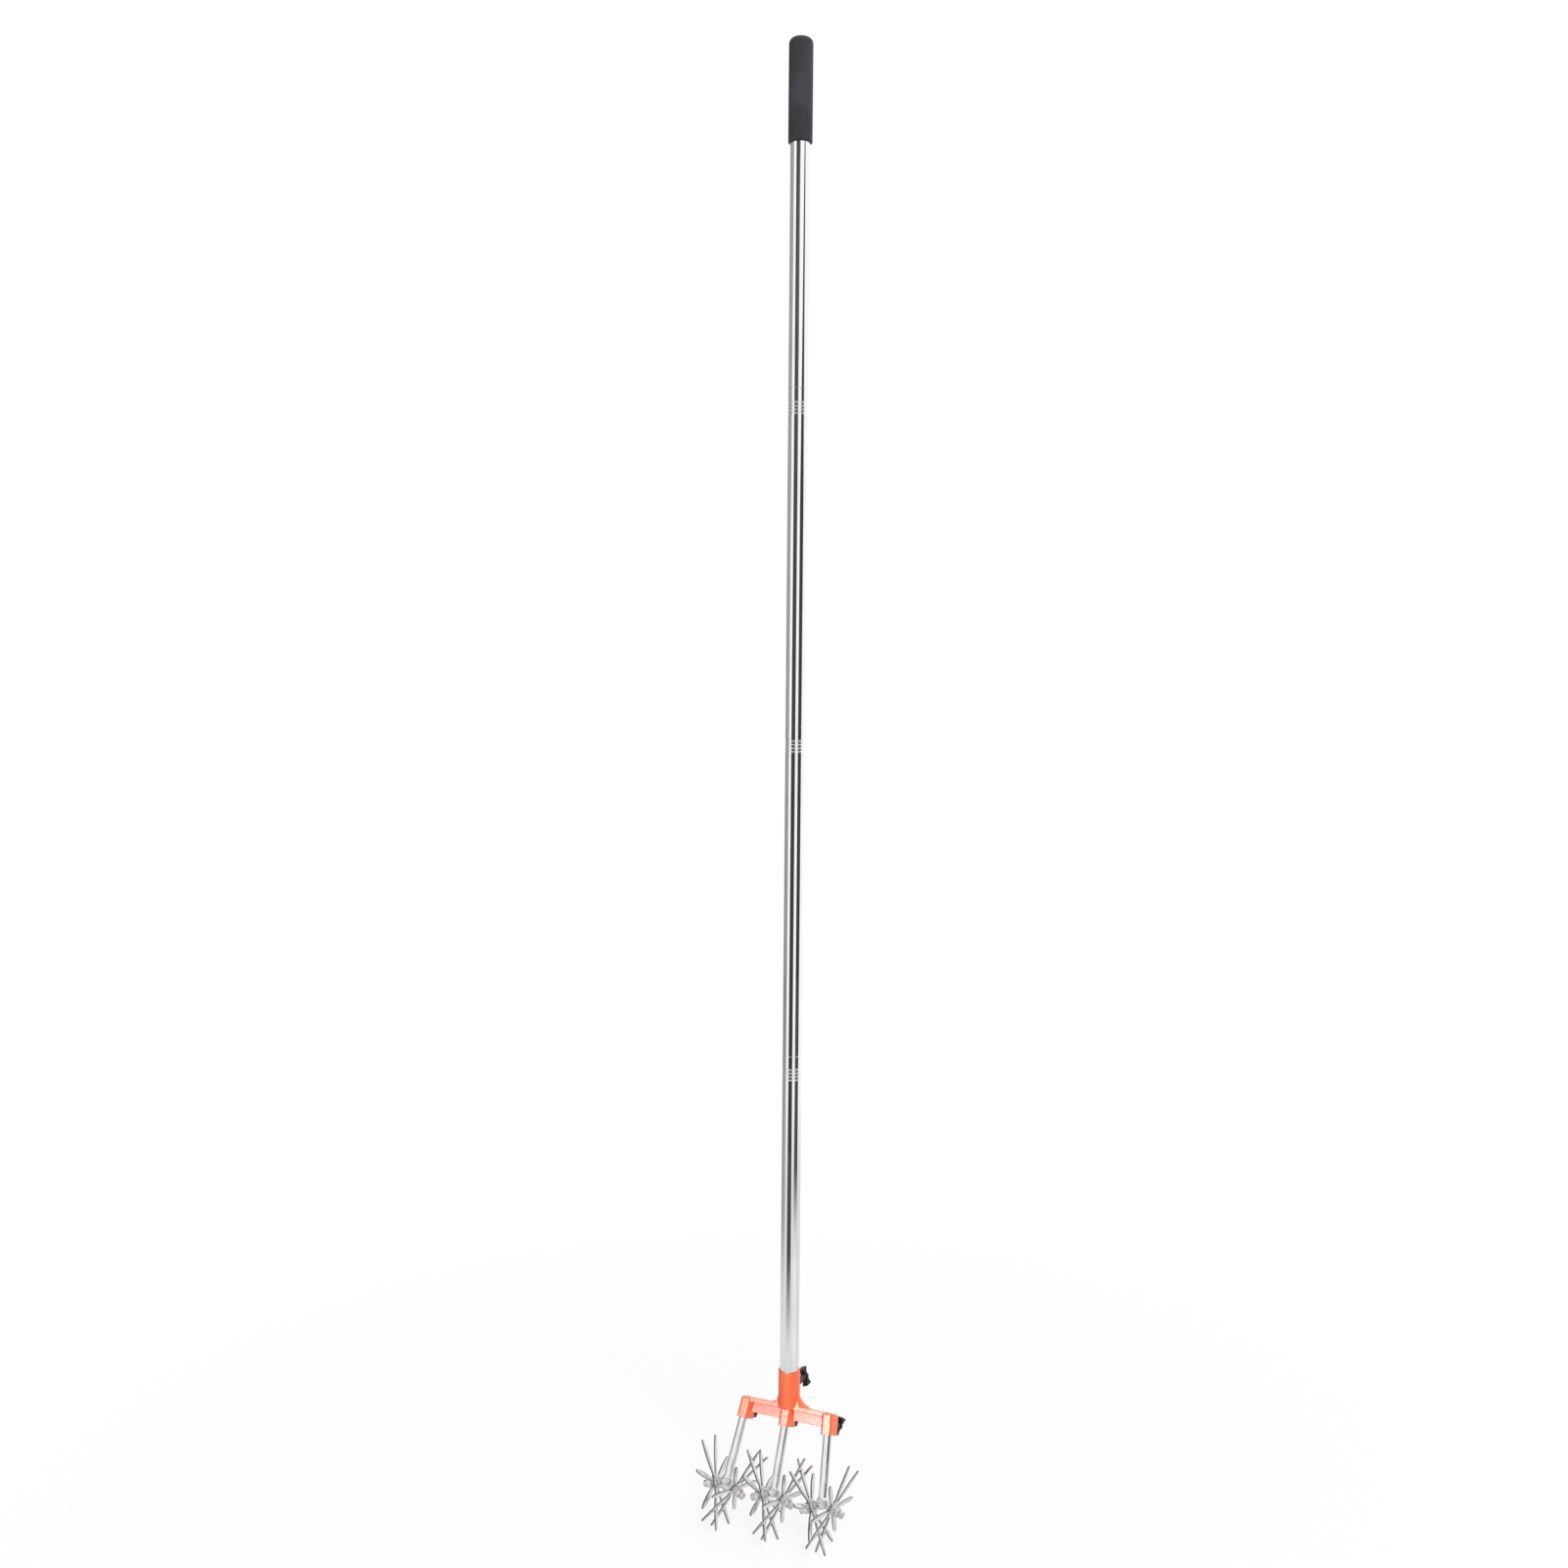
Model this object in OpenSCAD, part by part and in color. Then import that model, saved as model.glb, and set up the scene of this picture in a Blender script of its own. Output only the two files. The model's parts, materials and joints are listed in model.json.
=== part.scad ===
// Rotary hand cultivator: a four-piece screwed pole with a closed grip, a cast head with
// three clamped rods, and a pair of canted star wheels on the foot of each rod.
// +Z runs up the pole, +X along the crossbar and -Y is the front. The origin is in the
// middle of the grip, on the pole's axis.

/* [Pole] */
// Outside diameter of the pole tubes
pole_d = 22; // [18:0.5:24]
// Wall of the pole tubes
tube_wall = 1.2; // [0.9:0.1:1.8]
// Length of each of the three upper sections
section_l = 377; // [250:1:480]
// Length of the lowest section that shows above the head
last_section_l = 373; // [250:1:480]
// How deep the lowest section sits in the head
pole_insert = 36; // [28:1:48]

/* [Grip] */
// Outside diameter of the grip
grip_d = 27; // [25:0.5:36]
// Straight length of the grip
grip_hold = 106; // [80:1:140]
// Radius that rounds the closed end
grip_round = 7; // [4:0.5:10]
// Thickness of the closed end
grip_end = 4; // [3:0.5:6]

/* [Screw joints of the pole] */
// Number of rolled grooves that hold a threaded insert
groove_count = 4; // [3:1:5]
// Distance from one groove to the next
groove_pitch = 4; // [3.4:0.1:5]
// Distance from the joint down to the first groove
groove_first = 15.5; // [10:0.5:20]
// Radius of the rolled groove
groove_r = 1.2; // [0.9:0.1:1.5]
// Depth of the rolled groove
groove_depth = 0.5; // [0.3:0.05:0.6]
// Diameter of the joining thread
thread_d = 14; // [11:0.5:15]
// Length of the joining thread
thread_l = 24; // [16:1:32]

/* [Head] */
// Wall of the pole socket
socket_wall = 1.7; // [1.4:0.1:3]
// Solid metal under the end of the pole
socket_floor = 6; // [5:0.5:9]
// Forward lean of the crossbar and the rods, in degrees
head_tilt = 25; // [15:0.5:32]
// How far the rods stand forward of the pole's axis at the top of the crossbar
bar_forward = 2; // [0:0.5:4]
// Distance between rods at the top of the crossbar
rod_spacing = 51; // [48:0.5:60]
// Outward lean of the outer rods, in degrees
rod_splay = 5.5; // [3:0.5:8]
// Thickness of the top flange
flange_t = 5; // [4:0.5:7]
// Front edge of the flange, ahead of the rods
flange_front = 5; // [3:0.5:6.5]
// Back edge of the flange, behind the rods
flange_back = 12; // [10:0.5:16]
// Thickness of the web
web_t = 4; // [3:0.5:5]
// Height of the crossbar from the flange's top to the web's lower edge
web_h = 16.3; // [13:0.1:20]
// Front face of the web, behind the rods
web_back_set = 5; // [3:0.5:6.5]
// Height of a rod block
block_h = 23.5; // [20:0.5:30]
// Wall of a rod block at each side of the rod
block_side_wall = 1.5; // [1.2:0.1:4]
// Wall of a rod block in front of the rod
block_front_wall = 2; // [1.8:0.1:4]
// Wall of a rod block behind the rod, which holds the clamp screw
block_back_wall = 13; // [9:0.5:16]
// Chamfer on the upright edges of a rod block
block_chamfer = 2.4; // [1:0.1:3]
// Radius of the flare from the socket to the crossbar
neck_flare = 18; // [12:0.5:20]

/* [Clamp screws] */
// Diameter of a clamp screw
screw_d = 6; // [5:0.5:7]
// Length of the pole's clamp screw up to its wing
pole_screw_l = 30; // [26:0.5:36]
// Length of a rod's clamp screw up to its wing
rod_screw_l = 26; // [24:0.5:34]
// Length of a clamp screw inside its wing
screw_in_wing = 7; // [6:0.5:8]
// Distance from the socket's rim down to its clamp screw
screw_below_rim = 28; // [14:0.5:30]
// Span of a wing
wing_span = 20; // [17:0.5:26]
// Height of a wing at its two ears
wing_h = 11.5; // [10.5:0.5:14]
// Thickness of a wing
wing_t = 6.5; // [5:0.5:7.5]
// Diameter of the wing's hub
wing_hub_d = 9; // [8.5:0.5:11]

/* [Rods] */
// Diameter of a rod
rod_d = 10; // [9:0.5:12]
// Length of a rod from its block to the axle
rod_l = 71; // [65:0.5:90]
// Length of a rod inside its block
rod_in = 19; // [16:0.5:20]
// Diameter of the ball at the rod's foot
knuckle_d = 14.4; // [13.5:0.1:17]

/* [Axles] */
// Diameter of an axle
axle_d = 6; // [5:0.5:7]
// Downward bend of each half of an axle, in degrees
axle_cant = 24; // [20:0.5:26]
// Length of the spacer between the ball and the wheel
spacer_l = 3.3; // [2.5:0.1:5]
// Thickness of a washer
washer_t = 1.2; // [0.8:0.1:1.6]
// Diameter of the inner washers
inner_washer_d = 16; // [13:0.5:18]
// Diameter of the outer washers
outer_washer_d = 13; // [12:0.5:16]
// Height of a lock nut
nut_h = 4; // [3:0.1:5]
// Width of a lock nut across its flats
nut_w = 10; // [9:0.5:11.5]
// Diameter of an axle cap
cap_d = 8.4; // [8:0.1:10]
// Length of an axle cap
cap_l = 5.4; // [4.5:0.1:6.5]

/* [Star wheels] */
// Diameter over the blade tips
wheel_d = 106; // [96:1:108]
// Number of blades on a wheel
blade_count = 8; // [6:1:8]
// Width of a blade at its middle
blade_w = 6; // [4:0.1:6.5]
// Radius of a blade's tip
blade_tip_r = 1.45; // [1:0.05:1.5]
// Thickness of the wheel's plate
plate_t = 2; // [1.5:0.1:2.5]
// Diameter of the wheel's centre disc
disc_d = 19; // [16:0.5:24]
// Diameter of the bush pressed into the wheel
bush_d = 11; // [10:0.5:12]
// Length of the bush
bush_l = 5.4; // [4.6:0.1:7]

/* [Hidden] */
$fn = 64;
// Steps in the long shallow arcs of the blades
arc_steps = 720;

// Clearances
running_gap = 0.05;   // round the parts that turn or slide
push_gap = 0.02;      // round the parts that are pressed home
thread_gap = 0.1;     // between the joining threads
tip_gap = 0.05;       // between a clamp screw's tip and what it presses on
end_play = 0.3;       // each side of a wheel's bush
cut = 1;              // how far a cut runs past the face that it opens

// Pole and grip
pole_r = pole_d / 2;
tube_bore_r = pole_r - tube_wall;
grip_r = grip_d / 2;
grip_low_z = -grip_hold / 2;
grip_top_z = grip_hold / 2 + grip_round;
pole_top_z = grip_top_z - grip_end;
rim_z = pole_top_z - 3 * section_l - last_section_l;
function joint_z(i) = pole_top_z - i * section_l;

// Screw joints of the pole
groove_centre_r = pole_r + groove_r - groove_depth;
insert_tail = 2.5;
insert_l = groove_first + groove_count * groove_pitch + insert_tail;
insert_r = tube_bore_r - push_gap;
thread_r = thread_d / 2;
sleeve_over = 6;
sleeve_l = thread_l + sleeve_over;

// Head
rod_r = rod_d / 2;
socket_bore_r = pole_r + running_gap;
socket_r = socket_bore_r + socket_wall;
bar_z = rim_z - pole_insert - socket_floor;
// Lowest edge of the flange's sloping top, where the neck's flare ends
flare_z = bar_z - flange_back * sin(head_tilt);
pole_end_gap = 1;
block_half_w = rod_r + block_side_wall;
block_front = rod_r + block_front_wall;
block_back = rod_r + block_back_wall;
bar_half_l = rod_spacing + block_half_w;
bar_corner_r = 3;
rim_bevel = 0.5;
boss_d = 13;
boss_l = 4.5;
rods = [-1, 0, 1];

// Clamp screws
screw_r = screw_d / 2;
screw_height_share = 0.56;
wing_dip = 3.5;
wing_tip = 1;
wing_hub_step = 0.6;
wing_hub_end = 1.4;
wing_dip_half = wing_span / 2 - wing_tip;
wing_dip_r = (wing_dip_half * wing_dip_half + wing_dip * wing_dip) / (2 * wing_dip);
pole_wing_turn = 71;
rod_wing_turn = -66;

// Axles, with each place measured outwards from the middle of the ball
axle_r = axle_d / 2;
knuckle_r = knuckle_d / 2;
spacer_at = knuckle_r;
spacer_d = 9;
inner_washer_at = spacer_at + spacer_l;
bush_at = inner_washer_at + washer_t + end_play;
plate_in_bush = 1;
plate_at = bush_at + plate_in_bush;
outer_washer_at = bush_at + bush_l + end_play;
nut_at = outer_washer_at + washer_t;
cap_gap = 0.2;
cap_at = nut_at + nut_h + cap_gap;
cap_end_t = 1.3;
axle_half_l = cap_at + cap_l - cap_end_t;
cap_bevel = 0.8;
pin_r = 1.8;
pin_head_r = 3.8;
pin_head_t = 1.4;
pin_flat = 6;

// Star wheels
wheel_r = wheel_d / 2;
disc_r = disc_d / 2;
bush_r = bush_d / 2;
blade_root_r = 4;
blade_point_over = 7;
blade_chord = wheel_r + blade_point_over - blade_root_r;
blade_arc_r = (blade_chord * blade_chord + blade_w * blade_w) / (4 * blade_w);
// Angle of the first blade from the upright, for the left and right wheel of each rod
wheel_turns = [[31, 11], [23, 9], [-2, 14]];

// Frames: the leaning crossbar, a rod's block, the ball at its foot and half an axle
module at_bar() {
    translate([0, -bar_forward, bar_z])
        rotate([-head_tilt, 0, 0])
            children();
}

module at_block(i) {
    at_bar()
        translate([i * rod_spacing, 0, 0])
            rotate([0, -i * rod_splay, 0])
                children();
}

module at_knuckle(i) {
    at_block(i)
        translate([0, 0, -block_h - rod_l])
            children();
}

// side is -1 for the left half of the axle and 1 for the right half
module at_axle(i, side) {
    at_knuckle(i)
        rotate([0, side * (90 + axle_cant), 0])
            children();
}

module both_halves(i) {
    for (side = [-1, 1])
        at_axle(i, side)
            children();
}

module at_pole_screw() {
    translate([0, 0, rim_z - screw_below_rim])
        rotate([-90, 0, 0])
            children();
}

module at_rod_screw(i) {
    at_block(i)
        translate([0, 0, -block_h * screw_height_share])
            rotate([-90, 0, 0])
                children();
}

// A round tube with its lower end at the origin
module ring(outer_r, inner_r, length) {
    difference() {
        cylinder(r = outer_r, h = length);
        translate([0, 0, -cut])
            cylinder(r = inner_r, h = length + 2 * cut);
    }
}

// Grip
module grip() {
    color("dimgray")
        difference() {
            translate([0, 0, grip_low_z])
                rotate_extrude()
                    union() {
                        square([grip_r, grip_hold]);
                        square([grip_r - grip_round, grip_hold + grip_round]);
                        translate([grip_r - grip_round, grip_hold])
                            intersection() {
                                circle(r = grip_round);
                                square([grip_round, grip_round]);
                            }
                    }
            translate([0, 0, grip_low_z - cut])
                cylinder(r = pole_r + push_gap, h = pole_top_z - grip_low_z + cut);
        }
}

// Places of the rolled grooves below a joint
module at_grooves(joint) {
    for (i = [0 : groove_count - 1])
        translate([groove_centre_r, joint - groove_first - i * groove_pitch])
            children();
}

// One pole tube between two heights, with rolled grooves under its upper end
module pole_tube(top_z, low_z, grooved) {
    color("silver")
        rotate_extrude()
            difference() {
                union() {
                    translate([tube_bore_r, low_z])
                        square([tube_wall, top_z - low_z]);
                    if (grooved)
                        intersection() {
                            at_grooves(top_z)
                                circle(r = groove_r + tube_wall);
                            translate([0, low_z])
                                square([pole_r - tube_wall / 2, top_z - low_z]);
                        }
                }
                if (grooved)
                    at_grooves(top_z)
                        circle(r = groove_r);
            }
}

module tube(i) {
    low_z = i < 4 ? joint_z(i) : rim_z - pole_insert;
    pole_tube(joint_z(i - 1), low_z, i > 1);
}

// Threaded insert, held in the upper end of a lower tube by the rolled grooves
module spigot(i) {
    color("gray")
        rotate_extrude()
            difference() {
                union() {
                    translate([0, joint_z(i) - insert_l])
                        square([insert_r, insert_l]);
                    translate([0, joint_z(i)])
                        square([thread_r, thread_l]);
                }
                at_grooves(joint_z(i))
                    circle(r = groove_r + tube_wall + push_gap);
            }
}

// Threaded sleeve in the lower end of an upper tube
module sleeve(i) {
    color("darkgray")
        translate([0, 0, joint_z(i)])
            ring(insert_r, thread_r + thread_gap, sleeve_l);
}

// Head casting
module neck_flare_profile() {
    difference() {
        square([socket_r + neck_flare, neck_flare]);
        translate([socket_r + neck_flare, neck_flare])
            circle(r = neck_flare);
    }
}

module head_neck() {
    socket_l = rim_z - bar_z + flange_t + socket_r;
    intersection() {
        union() {
            translate([0, 0, rim_z - socket_l])
                cylinder(r = socket_r, h = socket_l);
            intersection() {
                translate([0, 0, flare_z])
                    rotate_extrude()
                        neck_flare_profile();
                at_bar()
                    translate([-bar_half_l, -flange_front, -bar_half_l])
                        cube([2 * bar_half_l, flange_front + flange_back, 2 * bar_half_l]);
            }
        }
        at_bar()
            translate([-bar_half_l, -bar_half_l, -flange_t])
                cube([2 * bar_half_l, 2 * bar_half_l, 2 * bar_half_l]);
    }
}

// Front outline of the flange, with round upper corners
module flange_outline() {
    translate([-bar_half_l, -flange_t])
        square([2 * bar_half_l, flange_t - bar_corner_r]);
    translate([-bar_half_l + bar_corner_r, -flange_t])
        square([2 * (bar_half_l - bar_corner_r), flange_t]);
    for (side = [-1, 1])
        translate([side * (bar_half_l - bar_corner_r), -bar_corner_r])
            circle(r = bar_corner_r);
}

module head_bar() {
    translate([0, flange_back, 0])
        rotate([90, 0, 0])
            linear_extrude(flange_front + flange_back)
                flange_outline();
    translate([-rod_spacing, web_back_set, -web_h])
        cube([2 * rod_spacing, web_t, web_h - flange_t / 2]);
}

module block_outline() {
    inner_x = block_half_w - block_chamfer;
    polygon([
        [-inner_x, -block_front],
        [inner_x, -block_front],
        [block_half_w, -block_front + block_chamfer],
        [block_half_w, block_back - block_chamfer],
        [inner_x, block_back],
        [-inner_x, block_back],
        [-block_half_w, block_back - block_chamfer],
        [-block_half_w, -block_front + block_chamfer]
    ]);
}

module head() {
    color("orangered")
        difference() {
            union() {
                head_neck();
                at_bar()
                    head_bar();
                for (i = rods)
                    at_block(i)
                        translate([0, 0, -block_h])
                            linear_extrude(block_h - bar_corner_r / 2)
                                block_outline();
                at_pole_screw()
                    cylinder(d = boss_d, h = socket_r + boss_l);
            }
            translate([0, 0, rim_z - pole_insert - pole_end_gap])
                cylinder(r = socket_bore_r, h = pole_insert + pole_end_gap + cut);
            translate([0, 0, rim_z - rim_bevel])
                cylinder(r1 = socket_bore_r, r2 = socket_bore_r + rim_bevel + cut, h = rim_bevel + cut);
            at_pole_screw()
                cylinder(r = screw_r + running_gap, h = socket_r + boss_l + cut);
            for (i = rods) {
                at_block(i)
                    translate([0, 0, -block_h - cut])
                        cylinder(r = rod_r + running_gap, h = rod_in + end_play + cut);
                at_rod_screw(i)
                    cylinder(r = screw_r + running_gap, h = block_back + cut);
            }
        }
}

// Clamp screws and their wings
module clamp_screw(seat_r, free_l) {
    color("silver")
        translate([0, 0, seat_r + tip_gap])
            cylinder(r = screw_r, h = free_l + screw_in_wing);
}

// Two blunt ears, with a round dip between them on both sides
module wing_outline() {
    difference() {
        translate([-wing_span / 2, 0])
            square([wing_span, wing_h]);
        translate([0, wing_h + wing_dip_r - wing_dip])
            circle(r = wing_dip_r);
        translate([0, wing_dip - wing_dip_r])
            circle(r = wing_dip_r);
    }
}

module wing(seat_r, free_l, turn) {
    hub_from = wing_dip - wing_hub_step;
    color("black")
        translate([0, 0, seat_r + tip_gap + free_l])
            rotate([0, 0, turn])
                difference() {
                    union() {
                        translate([0, 0, hub_from])
                            cylinder(d = wing_hub_d, h = screw_in_wing + wing_hub_end - hub_from);
                        rotate([90, 0, 0])
                            linear_extrude(wing_t, center = true)
                                wing_outline();
                    }
                    translate([0, 0, -cut])
                        cylinder(r = screw_r + running_gap, h = screw_in_wing + running_gap + cut);
                }
}

// Rod with a drilled ball at its foot
module rod(i) {
    color("lightgray")
        difference() {
            union() {
                at_block(i)
                    translate([0, 0, -block_h - rod_l])
                        cylinder(r = rod_r, h = rod_l + rod_in);
                at_knuckle(i)
                    sphere(r = knuckle_r);
            }
            both_halves(i)
                cylinder(r = axle_r + push_gap, h = knuckle_d);
            at_knuckle(i)
                sphere(r = axle_r + push_gap);
            at_knuckle(i)
                rotate([90, 0, 0])
                    cylinder(r = pin_r + push_gap, h = knuckle_d, center = true);
            at_knuckle(i)
                translate([-knuckle_d, -pin_flat - knuckle_d, -knuckle_d])
                    cube([2 * knuckle_d, knuckle_d, 2 * knuckle_d]);
        }
}

// Bent axle with a wheel seat on each half
module axle(i) {
    color("silver")
        difference() {
            union() {
                both_halves(i)
                    cylinder(r = axle_r, h = axle_half_l);
                at_knuckle(i)
                    sphere(r = axle_r);
            }
            at_knuckle(i)
                rotate([90, 0, 0])
                    cylinder(r = pin_r + push_gap, h = knuckle_d, center = true);
        }
}

// Pin that locks the axle in the ball
module lock_pin(i) {
    color("gainsboro")
        at_knuckle(i)
            rotate([90, 0, 0]) {
                translate([0, 0, -pin_flat])
                    cylinder(r = pin_r, h = 2 * pin_flat);
                translate([0, 0, pin_flat])
                    cylinder(r = pin_head_r, h = pin_head_t);
            }
}

module spacers(i) {
    color("silver")
        both_halves(i)
            translate([0, 0, spacer_at])
                ring(spacer_d / 2, axle_r + push_gap, spacer_l);
}

module washers(i, washer_d, place) {
    color("silver")
        both_halves(i)
            translate([0, 0, place])
                ring(washer_d / 2, axle_r + push_gap, washer_t);
}

module lock_nuts(i) {
    color("silver")
        both_halves(i)
            translate([0, 0, nut_at])
                difference() {
                    cylinder(d = nut_w / cos(30), h = nut_h, $fn = 6);
                    translate([0, 0, -cut])
                        cylinder(r = axle_r + push_gap, h = nut_h + 2 * cut);
                }
}

module axle_caps(i) {
    color("silver")
        both_halves(i)
            translate([0, 0, cap_at])
                difference() {
                    union() {
                        cylinder(d = cap_d, h = cap_l - cap_bevel);
                        translate([0, 0, cap_l - cap_bevel])
                            cylinder(d1 = cap_d, d2 = cap_d - 2 * cap_bevel, h = cap_bevel);
                    }
                    translate([0, 0, -cut])
                        cylinder(r = axle_r + push_gap, h = cap_l - cap_end_t + cut);
                }
}

// A willow-leaf blade along +X, between two arcs, with a round tip
module blade_arc(side) {
    translate([blade_root_r + blade_chord / 2, side * (blade_arc_r - blade_w / 2)])
        circle(r = blade_arc_r, $fn = arc_steps);
}

module blade() {
    intersection() {
        blade_arc(-1);
        blade_arc(1);
        circle(r = wheel_r - blade_tip_r);
    }
    translate([wheel_r - blade_tip_r, 0])
        circle(r = blade_tip_r);
}

// Wheels are counted from the left: two on each rod
function wheel_rod(k) = floor((k - 1) / 2) - 1;
function wheel_side(k) = k % 2 == 1 ? -1 : 1;

module wheel(k) {
    i = wheel_rod(k);
    side = wheel_side(k);
    turn = wheel_turns[i + 1][(side + 1) / 2];
    color("lightsteelblue")
        at_axle(i, side)
            translate([0, 0, plate_at])
                rotate([0, 0, side * turn])
                    linear_extrude(plate_t)
                        difference() {
                            union() {
                                circle(r = disc_r);
                                for (j = [0 : blade_count - 1])
                                    rotate(j * 360 / blade_count)
                                        blade();
                            }
                            circle(r = bush_r + push_gap);
                        }
}

module bush(k) {
    color("darkgoldenrod")
        at_axle(wheel_rod(k), wheel_side(k))
            translate([0, 0, bush_at])
                ring(bush_r, axle_r + running_gap, bush_l);
}

function named(name, i) = str(name, "_", ["left", "middle", "right"][i + 1]);

grip();
for (i = [1 : 4])
    tube(i);
for (i = [1 : 3]) {
    spigot(i);
    sleeve(i);
}
head();
at_pole_screw() clamp_screw(pole_r, pole_screw_l);  // clamp_screw_pole
at_pole_screw() wing(pole_r, pole_screw_l, pole_wing_turn);  // wing_pole
for (i = rods) {
    at_rod_screw(i) clamp_screw(rod_r, rod_screw_l);
    at_rod_screw(i) wing(rod_r, rod_screw_l, rod_wing_turn);
    rod(i);
    axle(i);
    lock_pin(i);
    spacers(i);
    washers(i, inner_washer_d, inner_washer_at);
    washers(i, outer_washer_d, outer_washer_at);
    lock_nuts(i);
    axle_caps(i);
}
for (k = [1 : 6]) {
    wheel(k);
    bush(k);
}
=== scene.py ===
import json
import math

import bpy
from mathutils import Matrix, Vector

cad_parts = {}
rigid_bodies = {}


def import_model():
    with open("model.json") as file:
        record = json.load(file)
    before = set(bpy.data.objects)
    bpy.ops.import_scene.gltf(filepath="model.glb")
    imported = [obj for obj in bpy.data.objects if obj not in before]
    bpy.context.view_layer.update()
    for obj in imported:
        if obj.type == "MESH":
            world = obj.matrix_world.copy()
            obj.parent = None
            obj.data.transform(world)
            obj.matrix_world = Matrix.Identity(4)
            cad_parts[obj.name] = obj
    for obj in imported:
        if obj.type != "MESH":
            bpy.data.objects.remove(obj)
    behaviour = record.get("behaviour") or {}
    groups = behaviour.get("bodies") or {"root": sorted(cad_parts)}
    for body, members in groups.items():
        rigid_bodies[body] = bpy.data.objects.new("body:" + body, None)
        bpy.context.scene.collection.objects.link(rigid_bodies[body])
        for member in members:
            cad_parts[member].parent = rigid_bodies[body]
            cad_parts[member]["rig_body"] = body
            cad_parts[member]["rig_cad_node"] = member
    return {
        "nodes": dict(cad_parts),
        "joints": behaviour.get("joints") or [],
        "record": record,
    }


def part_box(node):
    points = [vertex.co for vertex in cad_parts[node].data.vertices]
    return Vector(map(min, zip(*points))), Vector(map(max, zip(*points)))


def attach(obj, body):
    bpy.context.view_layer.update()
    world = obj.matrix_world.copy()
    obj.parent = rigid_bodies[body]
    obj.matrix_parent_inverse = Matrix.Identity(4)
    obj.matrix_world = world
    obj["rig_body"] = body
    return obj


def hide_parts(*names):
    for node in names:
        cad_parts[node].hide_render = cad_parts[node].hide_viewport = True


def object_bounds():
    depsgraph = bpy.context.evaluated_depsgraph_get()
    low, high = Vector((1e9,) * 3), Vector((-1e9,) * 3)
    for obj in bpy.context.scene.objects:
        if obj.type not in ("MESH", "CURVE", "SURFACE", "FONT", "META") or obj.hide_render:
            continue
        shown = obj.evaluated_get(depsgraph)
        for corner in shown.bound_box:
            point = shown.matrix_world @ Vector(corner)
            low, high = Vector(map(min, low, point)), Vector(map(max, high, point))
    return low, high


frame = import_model()
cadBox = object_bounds()
nodes = frame["nodes"]
record = frame["record"]
joints = {joint["name"]: joint for joint in frame["joints"]}
bodyOf = {node: body for body, members in record["behaviour"]["bodies"].items() for node in members}
slotOf = {part["node"]: part["material_slot"] for part in record["subparts"]}
tubeNumbers = range(1, 5)
wheelNumbers = range(1, 7)
up = Vector((0, 0, 1))
print("frame loaded:", len(nodes), "nodes")

# metres within which points are joined, and degrees between faces
joinWithin = {"turned": 5e-6, "solid": 2e-6, "eased": 1e-6, "thread": 1e-6}
flatUpTo = 1  # triangles that are one face
easedFrom = 40  # edges that get eased
smoothUpTo = {"turned": 32, "eased": 35, "cast": 60, "threaded": 40}


# small helpers for modelling by operators
def deselectAll():
    if bpy.context.object and bpy.context.object.mode != "OBJECT":
        bpy.ops.object.mode_set(mode="OBJECT")
    bpy.ops.object.select_all(action="DESELECT")


def makeActive(obj):
    deselectAll()
    obj.select_set(True)
    bpy.context.view_layer.objects.active = obj


def editAll():  # edit mode on the active object, with all of it selected
    bpy.ops.object.mode_set(mode="EDIT")
    bpy.ops.mesh.select_all(action="SELECT")


def applyModifiers(obj):
    makeActive(obj)
    for modifier in list(obj.modifiers):
        bpy.ops.object.modifier_apply(modifier=modifier.name)


def smoothByAngle(obj, degrees):
    makeActive(obj)
    bpy.ops.object.shade_smooth_by_angle(angle=math.radians(degrees))


def settle(obj, matrix):  # puts the place into the mesh, with the object back at the origin
    obj.matrix_world = matrix
    makeActive(obj)
    bpy.ops.object.transform_apply(location=True, rotation=True, scale=True)


def alongAxis(pos, axis, offset):  # local +Z runs along the joint's axis
    axis = Vector(axis).normalized()
    turn = axis.to_track_quat("Z", "Y").to_matrix().to_4x4()
    return Matrix.Translation(Vector(pos) + axis * offset) @ turn


def putFinish(obj, node):  # the node's own finish, or else its slot's
    obj.data.materials.clear()
    obj.data.materials.append(finishes.get(node) or finishes[slotOf[node]])


def handIn(obj, name, node):  # names a finished piece and ties it to the frame
    obj.name = obj.data.name = name
    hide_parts(node)
    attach(obj, bodyOf[node])
    putFinish(obj, node)


def lathe(profile, steps):  # spins an outline of (radius, height) points round Z
    deselectAll()
    bpy.ops.mesh.primitive_plane_add()
    obj = bpy.context.object
    editAll()
    bpy.ops.mesh.merge(type="CENTER")
    here = (0, 0)
    for count, (radius, height) in enumerate(profile):
        move = (radius - here[0], 0, height - here[1])
        if count:
            bpy.ops.mesh.extrude_region_move(TRANSFORM_OT_translate={"value": move})
        else:
            bpy.ops.transform.translate(value=move)
        here = (radius, height)
    bpy.ops.mesh.select_all(action="SELECT")
    bpy.ops.mesh.spin(steps=steps, angle=2 * math.pi, center=(0, 0, 0), axis=up)
    bpy.ops.mesh.select_all(action="SELECT")
    bpy.ops.mesh.remove_doubles(threshold=joinWithin["turned"])
    bpy.ops.mesh.normals_make_consistent(inside=False)
    bpy.ops.object.mode_set(mode="OBJECT")
    return obj


def arc(centre, radius, start, end, count):  # points of an arc in the outline's plane
    points = []
    for step in range(count + 1):
        angle = math.radians(start + (end - start) * step / count)
        points.append((centre[0] + radius * math.cos(angle), centre[1] + radius * math.sin(angle)))
    return points


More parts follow.
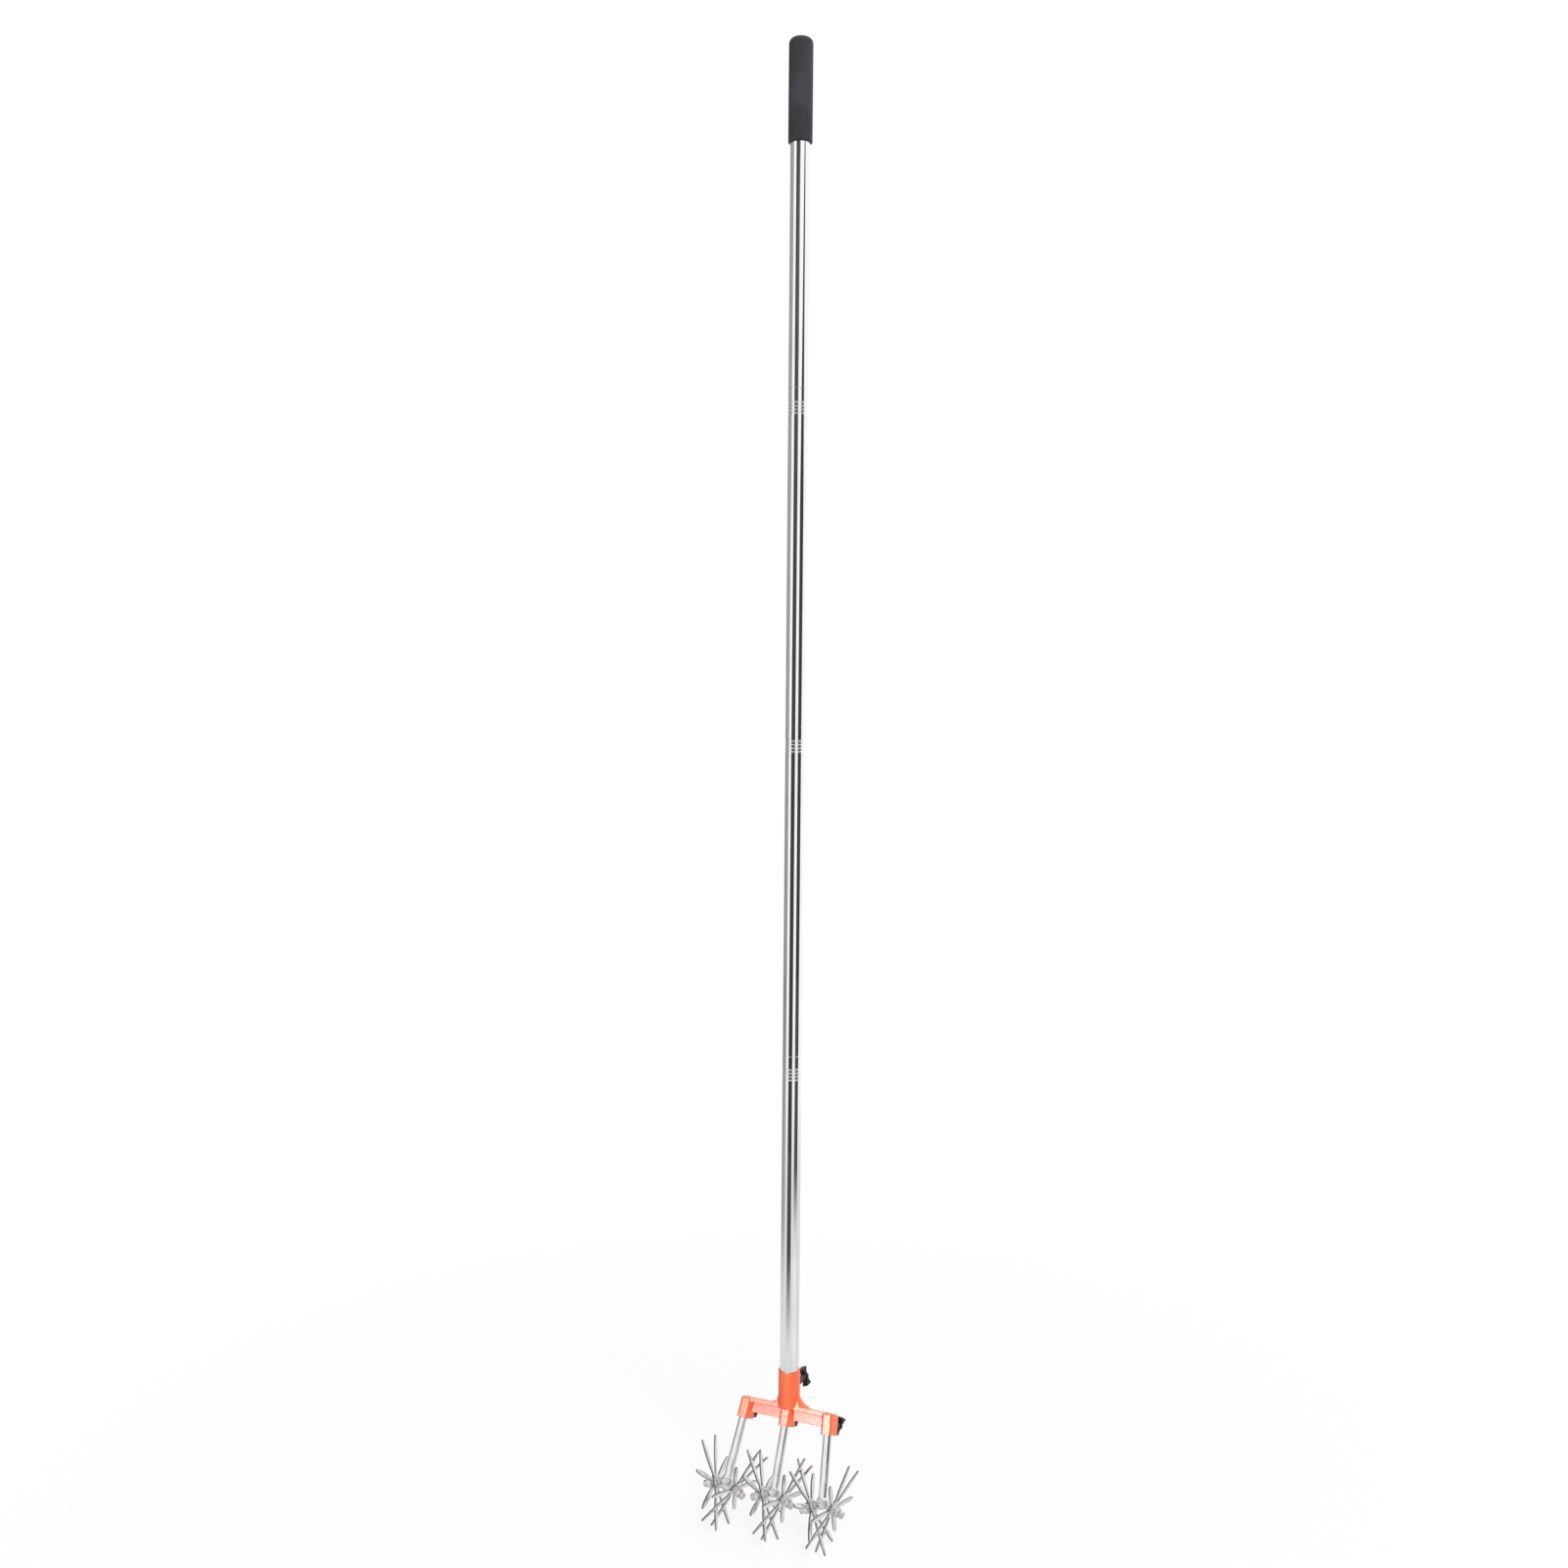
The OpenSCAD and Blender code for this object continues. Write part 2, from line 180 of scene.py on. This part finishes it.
def mergedCopy(node):  # own copy of a CAD node, with its loose triangles joined
    deselectAll()
    obj = nodes[node].copy()
    obj.data = nodes[node].data.copy()
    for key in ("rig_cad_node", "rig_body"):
        if key in obj:
            del obj[key]
    bpy.context.scene.collection.objects.link(obj)
    obj.parent = None
    obj.matrix_world = Matrix.Identity(4)
    makeActive(obj)
    editAll()
    bpy.ops.mesh.customdata_custom_splitnormals_clear()
    bpy.ops.mesh.remove_doubles(threshold=joinWithin["solid"])
    bpy.ops.mesh.dissolve_limited(angle_limit=math.radians(flatUpTo))
    bpy.ops.object.mode_set(mode="OBJECT")
    return obj


def easedCopy(node, width, segments):  # machined or stamped piece with its edges eased
    obj = mergedCopy(node)
    bevel = obj.modifiers.new("eased", "BEVEL")
    bevel.width = width
    bevel.segments = segments
    bevel.limit_method = "ANGLE"
    bevel.angle_limit = math.radians(easedFrom)
    applyModifiers(obj)
    editAll()
    bpy.ops.mesh.remove_doubles(threshold=joinWithin["eased"])
    bpy.ops.object.mode_set(mode="OBJECT")
    smoothByAngle(obj, smoothUpTo["eased"])
    return obj


def castCopy(node, voxel, rounds, keep):  # cast or moulded piece with every edge and corner rounded
    obj = mergedCopy(node)
    remesh = obj.modifiers.new("skin", "REMESH")
    remesh.mode = "VOXEL"
    remesh.voxel_size = voxel
    soften = obj.modifiers.new("soften", "SMOOTH")
    soften.factor = 0.5
    soften.iterations = rounds
    thin = obj.modifiers.new("thin", "DECIMATE")  # fewer faces where it is flat
    thin.ratio = keep
    applyModifiers(obj)
    smoothByAngle(obj, smoothUpTo["cast"])
    return obj


class Sock:  # wraps a socket, so that shader maths reads as plain expressions
    def __init__(self, tree, out):
        self.tree = tree
        self.out = out

    def node(self, kind, settings, sockets, out=0):
        made = self.tree.nodes.new(kind)
        for key, value in settings.items():
            setattr(made, key, value)
        for key, value in sockets.items():
            if isinstance(value, Sock):
                self.tree.links.new(value.out, made.inputs[key])
            else:
                made.inputs[key].default_value = value
        return Sock(self.tree, made.outputs[out])

    def maths(self, operation, other, swapped=False):
        first, second = (other, self) if swapped else (self, other)
        return self.node("ShaderNodeMath", {"operation": operation}, {0: first, 1: second})

    def __add__(self, other):
        return self.maths("ADD", other)

    def __radd__(self, other):
        return self.maths("ADD", other, swapped=True)

    def __sub__(self, other):
        return self.maths("SUBTRACT", other)

    def __rsub__(self, other):
        return self.maths("SUBTRACT", other, swapped=True)

    def __mul__(self, other):
        return self.maths("MULTIPLY", other)

    def __rmul__(self, other):
        return self.maths("MULTIPLY", other, swapped=True)

    def vector(self, operation, other=(0, 0, 0), out="Vector"):
        return self.node("ShaderNodeVectorMath", {"operation": operation}, {0: self, 1: other}, out)

    def noise(self, scale, detail, stretch=(1, 1, 1)):
        place = self.node("ShaderNodeMapping", {}, {"Vector": self, "Scale": stretch})
        return self.node("ShaderNodeTexNoise", {}, {"Vector": place, "Scale": scale, "Detail": detail})

    def ramp(self, low, high):  # 0 below low, 1 above high
        sockets = {"Value": self, "From Min": low, "From Max": high}
        return self.node("ShaderNodeMapRange", {"interpolation_type": "SMOOTHSTEP"}, sockets)

    def tint(self, first, second):  # from the first colour to the second, by this value
        first, second = (each if isinstance(each, Sock) else (*each, 1) for each in (first, second))
        return self.node("ShaderNodeMix", {"data_type": "RGBA"}, {0: self, 6: first, 7: second}, out=2)

    def bump(self, strength, depth):
        return self.node("ShaderNodeBump", {}, {"Height": self, "Strength": strength, "Distance": depth})


def newFinish(name, **constants):
    made = bpy.data.materials.new(name)
    made.use_nodes = True
    shader = made.node_tree.nodes["Principled BSDF"]
    for key, value in constants.items():
        shader.inputs[key.replace("_", " ")].default_value = value
    coords = made.node_tree.nodes.new("ShaderNodeTexCoord")
    return made, shader, Sock(made.node_tree, coords.outputs["Object"])


def feed(shader, **values):
    for key, value in values.items():
        shader.id_data.links.new(value.out, shader.inputs[key.replace("_", " ")])


# finishes with broad clouds of tone over a fine grain: scale and detail of both noises, where the clouds
# begin and end, roughness and what each noise adds to it, strength and depth of the grain's bump
cloudedLooks = {
    "gripRubber": {  # soft dark plastic, matte, with a faint handling sheen
        "constants": {"Specular_IOR_Level": 0.4}, "broad": (28, 3), "fine": (1400, 2),
        "clouds": (0.3, 0.7), "dark": (0.022, 0.023, 0.027), "light": (0.038, 0.039, 0.046),
        "rough": (0.52, 0.14, 0.06), "bump": (0.25, 0.00025),
    },
    "zincSteel": {  # bright zinc plate
        "constants": {"Metallic": 1}, "broad": (160, 4), "fine": (2600, 3),
        "clouds": (0.3, 0.7), "dark": (0.60, 0.60, 0.60), "light": (0.76, 0.76, 0.755),
        "rough": (0.10, 0.10, 0.06), "bump": (0.06, 0.00003),
    },
    "screwSteel": {  # black zinc plate
        "constants": {"Metallic": 1}, "broad": (160, 4), "fine": (2600, 3),
        "clouds": (0.3, 0.7), "dark": (0.085, 0.085, 0.088), "light": (0.15, 0.15, 0.153),
        "rough": (0.24, 0.10, 0.06), "bump": (0.06, 0.00003),
    },
    "rodChrome": {  # bright chrome, with the ghost of the grinding under it
        "constants": {"Metallic": 1}, "broad": (70, 3), "fine": (300, 2),
        "clouds": (0.3, 0.7), "dark": (0.80, 0.80, 0.81), "light": (0.87, 0.87, 0.88),
        "rough": (0.06, 0.06, 0), "bump": (0.01, 0.00002),
    },
    "blackPlastic": {  # moulded nylon, semi-matte, with a spark-eroded grain and no edge to its clouds
        "constants": {"Specular_IOR_Level": 0.25}, "broad": (120, 2), "fine": (2200, 2),
        "clouds": None, "dark": (0.008, 0.008, 0.009), "light": (0.016, 0.016, 0.017),
        "rough": (0.34, 0.12, 0.08), "bump": (0.2, 0.00012),
    },
}


def cloudedFinish(name):
    look = cloudedLooks[name]
    made, shader, place = newFinish(name, **look["constants"])
    broad = place.noise(*look["broad"])
    fine = place.noise(*look["fine"])
    cloud = broad.ramp(*look["clouds"]) if look["clouds"] else broad
    rough, broadRough, fineRough = look["rough"]
    feed(shader, Base_Color=cloud.tint(look["dark"], look["light"]))
    feed(shader, Roughness=rough + broad * broadRough + fine * fineRough)
    feed(shader, Normal=fine.bump(*look["bump"]))
    return made


# drawn stainless tube: mirror bright, with faint lines along it and smudges
tubeLook = {
    "lines": (1, 2, (700, 700, 1.5)), "smudge": (20, 4),  # scale, detail and stretch
    "dulled": (0.35, 0.75), "clean": (0.95, 0.95, 0.955), "dull": (0.90, 0.90, 0.905),
    "rough": 0.02, "linesRough": 0.02, "smudged": (0.5, 0.8), "smudgeRough": 0.03, "bump": (0.005, 0.00002),
}


def polishedSteel():
    look = tubeLook
    made, shader, place = newFinish("polishedSteel", Metallic=1)
    lines = place.noise(*look["lines"])
    smudge = place.noise(*look["smudge"])
    smudged = smudge.ramp(*look["smudged"])
    feed(shader, Base_Color=smudge.ramp(*look["dulled"]).tint(look["clean"], look["dull"]))
    feed(shader, Roughness=look["rough"] + lines * look["linesRough"] + smudged * look["smudgeRough"])
    feed(shader, Normal=lines.bump(*look["bump"]))
    return made


# powder coat on a casting: orange peel, with rubbed edges a little paler
paintLook = {
    "broad": (45, 3), "peel": (900, 2), "pits": (320, 2),
    "clouds": (0.3, 0.7), "dark": (0.93, 0.118, 0.018), "light": (0.98, 0.142, 0.026),
    "edges": (0.52, 0.60), "rubbed": (1, 0.26, 0.10), "rubbedShare": 0.45,  # by how sharp the edge is
    "rough": 0.36, "peelRough": 0.10, "broadRough": 0.06,
    "coat": 0.75, "coatRubbedOff": 0.30, "coatRough": 0.35, "specular": 0.3,
    "pitsShare": 0.5, "bump": (0.02, 0.00015),
}


def orangePaint():
    look = paintLook
    gloss = {"Coat_Roughness": look["coatRough"], "Specular_IOR_Level": look["specular"]}
    made, shader, place = newFinish("orangePaint", **gloss)
    broad = place.noise(*look["broad"])
    peel = place.noise(*look["peel"])
    pits = place.noise(*look["pits"])
    edge = place.node("ShaderNodeNewGeometry", {}, {}, out="Pointiness").ramp(*look["edges"])
    paint = broad.ramp(*look["clouds"]).tint(look["dark"], look["light"])
    feed(shader, Base_Color=(edge * look["rubbedShare"]).tint(paint, look["rubbed"]))
    feed(shader, Roughness=look["rough"] + peel * look["peelRough"] + broad * look["broadRough"])
    feed(shader, Coat_Weight=look["coat"] - edge * look["coatRubbedOff"])
    feed(shader, Normal=(peel + pits * look["pitsShare"]).bump(*look["bump"]))
    return made


# stamped plate with bright faces, duller where it was sheared, with painted shade darkening the sheared sides
# and the eased rims
wheelLook = {
    "broad": (110, 4), "fine": (900, 3),
    "clouds": (0.3, 0.75), "dark": (0.84, 0.84, 0.845), "light": (0.95, 0.95, 0.955),
    # squared cosines to the axle, from 0 on the sheared edge to 1 on the face
    "shearedAndShadedEnds": (0.05, 0.30), "rimBegins": (0.02, 0.20), "rimEnds": (0.80, 0.97),
    # painted shade: a dark tone on the sheared sides, and a near black one on the eased rims
    "shearedAndShadedTone": (0.30, 0.30, 0.31), "rim": (0.06, 0.06, 0.065), "rimShare": 0.9,
    "rough": 0.10, "broadRough": 0.10, "shearRough": 0.15, "bump": (0.08, 0.00004),
}


def wheelSteel(number):
    look = wheelLook
    made, shader, place = newFinish("wheelSteel%d" % number, Metallic=1)
    broad = place.noise(*look["broad"])
    fine = place.noise(*look["fine"])
    normal = place.node("ShaderNodeTexCoord", {}, {}, out="Normal")  # turns with the wheel
    facing = normal.vector("DOT_PRODUCT", joints["wheel_%d_spin" % number]["axis"], out="Value")
    turned = facing * facing
    # painted shade by angle to the axle: the sheared sides darken (their extra roughness is real), and the
    # eased rims go near black
    shearedAndShaded = 1 - turned.ramp(*look["shearedAndShadedEnds"])
    rim = turned.ramp(*look["rimBegins"]) - turned.ramp(*look["rimEnds"])
    face = broad.ramp(*look["clouds"]).tint(look["dark"], look["light"])
    face = shearedAndShaded.tint(face, look["shearedAndShadedTone"])
    feed(shader, Base_Color=(rim * look["rimShare"]).tint(face, look["rim"]))
    feed(shader, Roughness=look["rough"] + broad * look["broadRough"] + shearedAndShaded * look["shearRough"])
    feed(shader, Normal=(fine + broad).bump(*look["bump"]))
    return made


finishes = {
    "grip_rubber": cloudedFinish("gripRubber"),
    "polished_steel": polishedSteel(),
    "zinc_steel": cloudedFinish("zincSteel"),
    "orange_paint": orangePaint(),
    "black_plastic": cloudedFinish("blackPlastic"),
    "screw_steel": cloudedFinish("screwSteel"),
    "rod_steel": cloudedFinish("rodChrome"),
}
for number in wheelNumbers:
    finishes["wheel_%d" % number] = wheelSteel(number)
for nodeName, nodeObj in nodes.items():
    putFinish(nodeObj, nodeName)
print("finishes made:", len(finishes))

# four tubes, with rolled grooves under each joint
tubeShape = {
    "wall": 0.0012, "edge": 0.0006, "steps": 96, "grooves": 4, "first": 0.0155, "pitch": 0.004,
    "grooveRadius": 0.0012, "grooveDepth": 0.0005, "grooveSteps": 8,
}
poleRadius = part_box("tube_1")[1].x


def tubeOutline(low, top, grooved):
    shape = tubeShape
    bore = poleRadius - shape["wall"]
    inEdge = poleRadius - shape["edge"]
    outline = [(bore, low), (inEdge, low), (poleRadius, low + shape["edge"])]
    if grooved:
        rise = shape["grooveRadius"] - shape["grooveDepth"]  # of the groove's centre over the tube
        half = math.degrees(math.acos(rise / shape["grooveRadius"]))
        for count in reversed(range(shape["grooves"])):
            centre = (poleRadius + rise, top - shape["first"] - count * shape["pitch"])
            outline += arc(centre, shape["grooveRadius"], 180 + half, 180 - half, shape["grooveSteps"])
    outline += [(poleRadius, top - shape["edge"]), (inEdge, top), (bore, top)]
    return outline + outline[:1]


for number in tubeNumbers:
    node = "tube_%d" % number
    low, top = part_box(node)
    hasJointAbove = number > 1
    tube = lathe(tubeOutline(low.z, top.z, hasJointAbove), tubeShape["steps"])
    smoothByAngle(tube, smoothUpTo["turned"])
    handIn(tube, "poleTube%d" % number, node)
print("pole tubes turned")

# closed sleeve with a rounded end and a soft lower lip
gripShape = {
    "gap": 0.00002, "round": 0.007, "roundSteps": 12, "lip": 0.0009, "lipSteps": 5, "end": 0.004, "steps": 96,
}
low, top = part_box("grip")
shape = gripShape
bore = poleRadius + shape["gap"]
lipCentre = (top.x - shape["lip"], low.z + shape["lip"])
roundCentre = (top.x - shape["round"], top.z - shape["round"])
gripOutline = [(0, top.z - shape["end"]), (bore, top.z - shape["end"]), (bore, low.z)]
gripOutline += arc(lipCentre, shape["lip"], -90, 0, shape["lipSteps"])
gripOutline += arc(roundCentre, shape["round"], 0, 90, shape["roundSteps"])
gripOutline += [(0, top.z)]
grip = lathe(gripOutline, shape["steps"])
smoothByAngle(grip, smoothUpTo["turned"])
handIn(grip, "handGrip", "grip")
print("grip turned")

# the casting, with cast edges
headShape = {"voxel": 0.0004, "rounds": 3, "keep": 0.45}
head = castCopy("head", **headShape)
handIn(head, "headCasting", "head")
print("head cast:", len(head.data.polygons), "faces")

# clamp screws have a core with a rolled thread, and a moulded wing on the end
screwShape = {
    "major": 0.003, "minor": 0.00248, "pitch": 0.001, "steps": 24, "plainTurns": 2, "tipGap": 0.00005,
    "tipShare": 0.8, "rootShare": 0.97,  # of the minor radius, at the tip and inside the thread
    "ridgeShare": 0.46,  # of the pitch, on each side of the crest
}
wingShape = {"voxel": 0.00025, "rounds": 4, "keep": 0.5}
rodRadius = 0.005
clamps = {  # length of each screw, and the radius of what it presses on
    "pole": (0.037, poleRadius), "left": (0.033, rodRadius),
    "middle": (0.033, rodRadius), "right": (0.033, rodRadius),
}


def threadedScrew(length):
    shape = screwShape
    minor, pitch = shape["minor"], shape["pitch"]
    outline = [(0, 0), (minor * shape["tipShare"], 0), (minor, pitch), (minor, length), (0, length)]
    core = lathe(outline, shape["steps"])
    deselectAll()
    bpy.ops.mesh.primitive_circle_add(vertices=3)  # the thread's triangle
    ridge = bpy.context.object
    root = minor * shape["rootShare"]
    half = pitch * shape["ridgeShare"]
    for vertex, (x, z) in zip(ridge.data.vertices, ((root, -half), (shape["major"], 0), (root, half))):
        vertex.co = (x, 0, z)
    screw = ridge.modifiers.new("thread", "SCREW")
    screw.axis = "Z"
    screw.angle = 2 * math.pi
    screw.screw_offset = pitch
    screw.iterations = int(length / pitch) - shape["plainTurns"]
    screw.steps = screw.render_steps = shape["steps"]
    applyModifiers(ridge)
    editAll()
    bpy.ops.mesh.remove_doubles(threshold=joinWithin["thread"])
    bpy.ops.mesh.fill_holes(sides=4)
    bpy.ops.mesh.select_all(action="SELECT")
    bpy.ops.mesh.normals_make_consistent(inside=False)
    bpy.ops.transform.translate(value=(0, 0, pitch))
    bpy.ops.object.mode_set(mode="OBJECT")
    deselectAll()
    ridge.select_set(True)
    core.select_set(True)
    bpy.context.view_layer.objects.active = core
    bpy.ops.object.join()
    smoothByAngle(core, smoothUpTo["threaded"])
    return core


for side, (length, seat) in clamps.items():
    joint = joints["clamp_%s_turn" % side]
    screw = threadedScrew(length)
    settle(screw, alongAxis(joint["pos_m"], joint["axis"], seat + screwShape["tipGap"]))
    handIn(screw, "clampScrew_" + side, "clamp_screw_" + side)
    wing = castCopy("wing_" + side, **wingShape)
    handIn(wing, "clampWing_" + side, "wing_" + side)
print("clamp screws and wings made")

# star wheels and the small turned parts on the axles, with eased edges
wheelEasing = {"width": 0.0004, "segments": 2}
smallParts = {
    "lock_nuts": {"piece": "lockNuts", "width": 0.0006, "segments": 2},
    "axle_caps": {"piece": "axleCaps", "width": 0.0005, "segments": 3},
    "inner_washers": {"piece": "innerWashers", "width": 0.0002, "segments": 2},
    "outer_washers": {"piece": "outerWashers", "width": 0.0002, "segments": 2},
    "lock_pin": {"piece": "lockPin", "width": 0.0004, "segments": 3},
}
for number in wheelNumbers:
    node = "wheel_%d" % number
    handIn(easedCopy(node, **wheelEasing), "starWheel%d" % number, node)
for side in ("left", "middle", "right"):
    for part, shape in smallParts.items():
        node = "%s_%s" % (part, side)
        eased = easedCopy(node, shape["width"], shape["segments"])
        handIn(eased, "%s_%s" % (shape["piece"], side), node)
print("wheels and small parts eased")

# camera at the photograph's angle
cameraView = {
    "place": (0.7066, -1.6552, -0.6351), "azimuth": 23.5, "pitch": 4.07, "roll": 0.49,
    "lens": 36.43, "sensor": 36,
}
azimuth, pitch, roll = (math.radians(cameraView[key]) for key in ("azimuth", "pitch", "roll"))
right = Vector((math.cos(azimuth), math.sin(azimuth), 0))
level = Vector((-math.sin(azimuth), math.cos(azimuth), 0))
ahead = level * math.cos(pitch) - up * math.sin(pitch)
down = -up * math.cos(pitch) - level * math.sin(pitch)
axes = Matrix((
    right * math.cos(roll) - down * math.sin(roll),
    -down * math.cos(roll) - right * math.sin(roll),
    -ahead,
)).transposed()
cameraData = bpy.data.cameras.new("photoCamera")
cameraData.lens = cameraView["lens"]
cameraData.sensor_width = cameraView["sensor"]
camera = bpy.data.objects.new("photoCamera", cameraData)
camera.matrix_world = Matrix.Translation(cameraView["place"]) @ axes.to_4x4()
bpy.context.scene.collection.objects.link(camera)
bpy.context.scene.camera = camera

# pale floor that fades to white away from the part, white surround, dark flags for the steel to mirror
stageSetup = {
    "floorSize": 40, "floorGap": 0.0005, "floorTone": 0.86, "nearGlow": 0.85, "white": (0.3, 1.2),
    "mirroredFloor": 0.74, "mirroredWhite": (1.0, 2.2),  # the floor as the steel sees it
    "surround": 0.42,  # light from all round
    "sheetFrom": 0.42, "sheetTo": 3.2, "sheetGap": 0.001,  # the part of each flag on the floor
    "hem": 0.01,  # height over the sheet from which a flag counts as hung
    "clothTint": (1, 0.94, 0.92),  # a warm black
    # angles from the camera's side, tone, distances at which the sheet darkens, and the cloth that hangs:
    # distance, height and share of the angle at each of its edges
    "flags": [
        {"angles": (-44, 3), "tone": 0.06, "fade": (0.35, 0.9), "hung": [(0.3, -1.28, 1), (5, 2.1, 1)]},
        {"angles": (34, 80), "tone": 0.06, "fade": (0.75, 1.4),
         "hung": [(3.2, -1.68, 1), (3.2, -0.1, 1), (3.2, 0.5, 0.5), (3.2, 1.3, 0.15)]},
        {"angles": (-165, -77), "tone": 0.42, "fade": (0.55, 1.1), "hung": [(3.2, -1.68, 1), (3.2, 2.6, 1)]},
    ],
}


def flagCloth(name, tone, fade):  # dark cloth whose sheet fades to the floor's tone near the part
    made, shader, place = newFinish(name, Roughness=0.95, Specular_IOR_Level=0)
    away = place.vector("MULTIPLY", (1, 1, 0)).vector("LENGTH", out="Value")
    height = place.node("ShaderNodeSeparateXYZ", {}, {0: place}, out="Z")
    hung = height.ramp(sheetZ, sheetZ + stageSetup["hem"])
    dark = away.ramp(*fade).maths("MAXIMUM", hung)
    pale = stageSetup["mirroredFloor"]
    feed(shader, Base_Color=dark.tint((pale, pale, pale), [tone * tint for tint in stageSetup["clothTint"]]))
    return made


def floorPaint():  # keeps the shadow near the part, and is plain white further out
    tone = stageSetup["floorTone"]
    made, shader, place = newFinish("floorPaint", Base_Color=(tone, tone, tone, 1), Roughness=0.9)
    tree = made.node_tree
    path = tree.nodes.new("ShaderNodeLightPath")
    seen = Sock(tree, path.outputs["Is Camera Ray"])
    mirrored = Sock(tree, path.outputs["Is Glossy Ray"])
    away = place.vector("LENGTH", out="Value")
    near = stageSetup["nearGlow"]
    glow = near + away.ramp(*stageSetup["white"]) * (1 - near)
    near = stageSetup["mirroredFloor"]
    mirroredTone = near + away.ramp(*stageSetup["mirroredWhite"]) * (1 - near)
    shine = place.node("ShaderNodeEmission", {}, {"Color": seen + mirrored * mirroredTone})
    blend = tree.nodes.new("ShaderNodeMixShader")
    tree.links.new((seen * glow + mirrored).out, blend.inputs[0])
    tree.links.new(shader.outputs[0], blend.inputs[1])
    tree.links.new(shine.out, blend.inputs[2])
    tree.links.new(blend.outputs[0], tree.nodes["Material Output"].inputs["Surface"])
    return made


deselectAll()
bpy.ops.mesh.primitive_plane_add(size=stageSetup["floorSize"])
floor = bpy.context.object
floor.name = "floor"
floor.location.z = cadBox[0].z - stageSetup["floorGap"]
floor.data.materials.append(floorPaint())
sheetZ = floor.location.z + stageSetup["sheetGap"]
for count, cloth in enumerate(stageSetup["flags"]):
    start, end = (math.radians(angle) for angle in cloth["angles"])
    middle, half = (start + end) / 2, (end - start) / 2
    out = right * math.sin(middle) - level * math.cos(middle)
    across = up.cross(out)
    strips = [((stageSetup["sheetFrom"], sheetZ, 1), (stageSetup["sheetTo"], sheetZ, 1))]
    strips += zip(cloth["hung"], cloth["hung"][1:])
    deselectAll()
    bpy.ops.mesh.primitive_plane_add()
    flag = bpy.context.object
    flag.name = "flag%d" % count
    bpy.ops.object.mode_set(mode="EDIT")
    bpy.ops.mesh.delete(type="VERT")
    for (distance, height, share), (nextDistance, nextHeight, nextShare) in strips:
        near = out * distance + up * height
        far = out * nextDistance + up * nextHeight
        edge = across * distance * math.tan(half) * share
        bpy.ops.mesh.primitive_plane_add()
        bpy.ops.mesh.merge(type="CENTER")
        bpy.ops.transform.translate(value=near - edge)
        bpy.ops.mesh.extrude_region_move(TRANSFORM_OT_translate={"value": edge * 2})
        bpy.ops.mesh.select_linked()
        bpy.ops.mesh.extrude_region_move(TRANSFORM_OT_translate={"value": far - near})
        widen = nextDistance * nextShare / (distance * share)
        bpy.ops.transform.resize(value=(widen, widen, 1), center_override=far)
        bpy.ops.mesh.select_all(action="DESELECT")
    bpy.ops.object.mode_set(mode="OBJECT")
    flag.data.materials.append(flagCloth("flagCloth%d" % count, cloth["tone"], cloth["fade"]))
    flag.visible_camera = False
    flag.visible_diffuse = False
    flag.visible_shadow = False

world = bpy.data.worlds.new("studio")
bpy.context.scene.world = world
world.use_nodes = True
backdrop = world.node_tree.nodes["Background"]
path = world.node_tree.nodes.new("ShaderNodeLightPath")
rays = ("Is Camera Ray", "Is Glossy Ray", "Is Transmission Ray")
seen, mirrored, through = (Sock(world.node_tree, path.outputs[ray]) for ray in rays)
white = (seen + mirrored + through).ramp(0, 1)
strength = white * (1 - stageSetup["surround"]) + stageSetup["surround"]
world.node_tree.links.new(strength.out, backdrop.inputs["Strength"])
backdrop.inputs["Color"].default_value = (1, 1, 1, 1)

# soft lights, and a last one that only puts a sheen on the painted casting
lamps = {
    "keyLight": {"place": (2.1, -2.4, 2.2), "aim": (0, 0, -1.2), "size": 1.8, "watts": 175},
    "sideLight": {"place": (-1.9, -0.5, 0.4), "aim": (0, 0, -0.9), "size": 1.4, "watts": 4},
    "backLight": {"place": (0.9, 1.8, 0.8), "aim": (0, 0, -0.9), "size": 1.4, "watts": 12},
    "sheenLight": {"place": (0, -0.92, -1.12), "aim": (0, 0, -1.5), "size": 0.48, "watts": 35},
}
for name, lampShape in lamps.items():
    lampData = bpy.data.lights.new(name, "AREA")
    lampData.size = lampShape["size"]
    lampData.energy = lampShape["watts"]
    lamp = bpy.data.objects.new(name, lampData)
    place = Vector(lampShape["place"])
    aimed = (place - Vector(lampShape["aim"])).to_track_quat("Z", "Y").to_matrix().to_4x4()
    lamp.matrix_world = Matrix.Translation(place) @ aimed
    bpy.context.scene.collection.objects.link(lamp)
    if name == "sheenLight":
        lamp.visible_diffuse = False
        lamp.light_linking.receiver_collection = bpy.data.collections.new("sheenTakers")
        lamp.light_linking.receiver_collection.objects.link(head)
    else:
        lamp.visible_glossy = False

bpy.context.scene.view_settings.view_transform = "Standard"
print("stage set")
